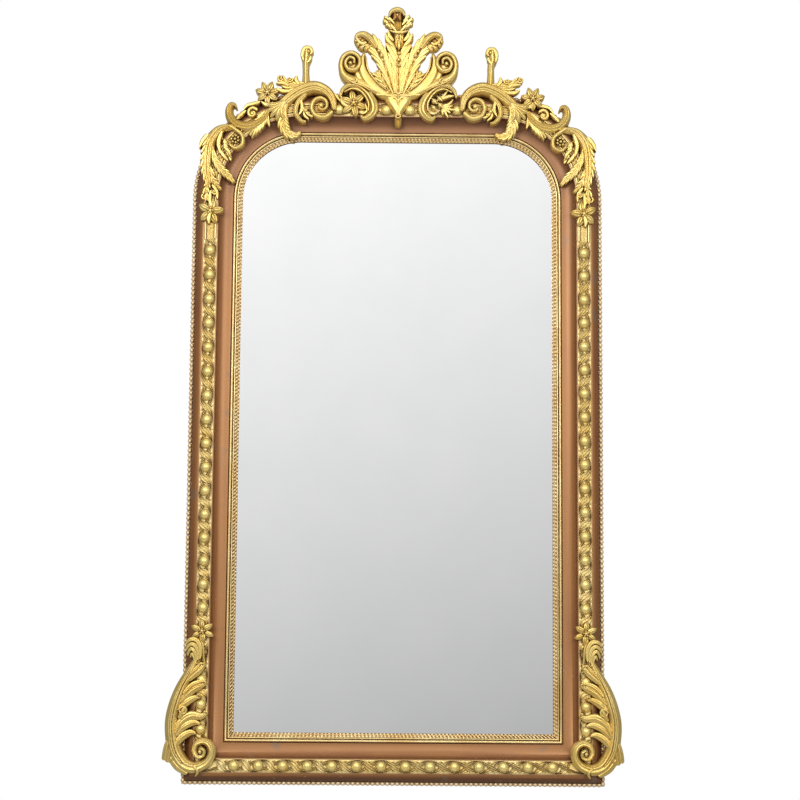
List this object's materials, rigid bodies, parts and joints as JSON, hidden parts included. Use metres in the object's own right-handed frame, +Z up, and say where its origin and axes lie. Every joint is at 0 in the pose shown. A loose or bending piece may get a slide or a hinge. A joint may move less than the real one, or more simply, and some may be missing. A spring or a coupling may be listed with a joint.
{
  "type": "wall mirror",
  "caption": "Tall arched wall mirror in a moulded copper-brown wooden frame with gilt guilloche bands, beaded edges and carved leaf and scroll ornaments.",
  "frame": {"origin": "on the wall plane, at the middle of the top rail's flat back, where the mirror is held", "axes": "+Z up, +X to the right seen from the front, the front faces -Y and the wall is on the +Y side"},
  "size_m": [1.1711, 0.0999, 2.0276],
  "materials": {
    "copper_brown_wood": "satin copper-brown paint and varnish, slightly worn",
    "gilt": "gilded carved wood, bright on the crowns and brown in the recesses",
    "antique_gilt": "dull antique gold over dark brown",
    "silvered_glass": "polished silvered glass",
    "board": "plain unfinished softwood board"
  },
  "bodies": {
    "root": {"frame_body": "copper_brown_wood", "sight_edge": "gilt", "edge_beading": "antique_gilt", "ball_band_left": "gilt", "ball_band_right": "gilt", "ball_band_top": "gilt", "ball_band_bottom": "gilt", "mirror_glass": "silvered_glass", "backboard": "board", "crest": "gilt", "shoulder_carving_left": "gilt", "shoulder_carving_right": "gilt", "foot_scroll_left": "gilt", "foot_scroll_right": "gilt"}
  },
  "joints": []
}
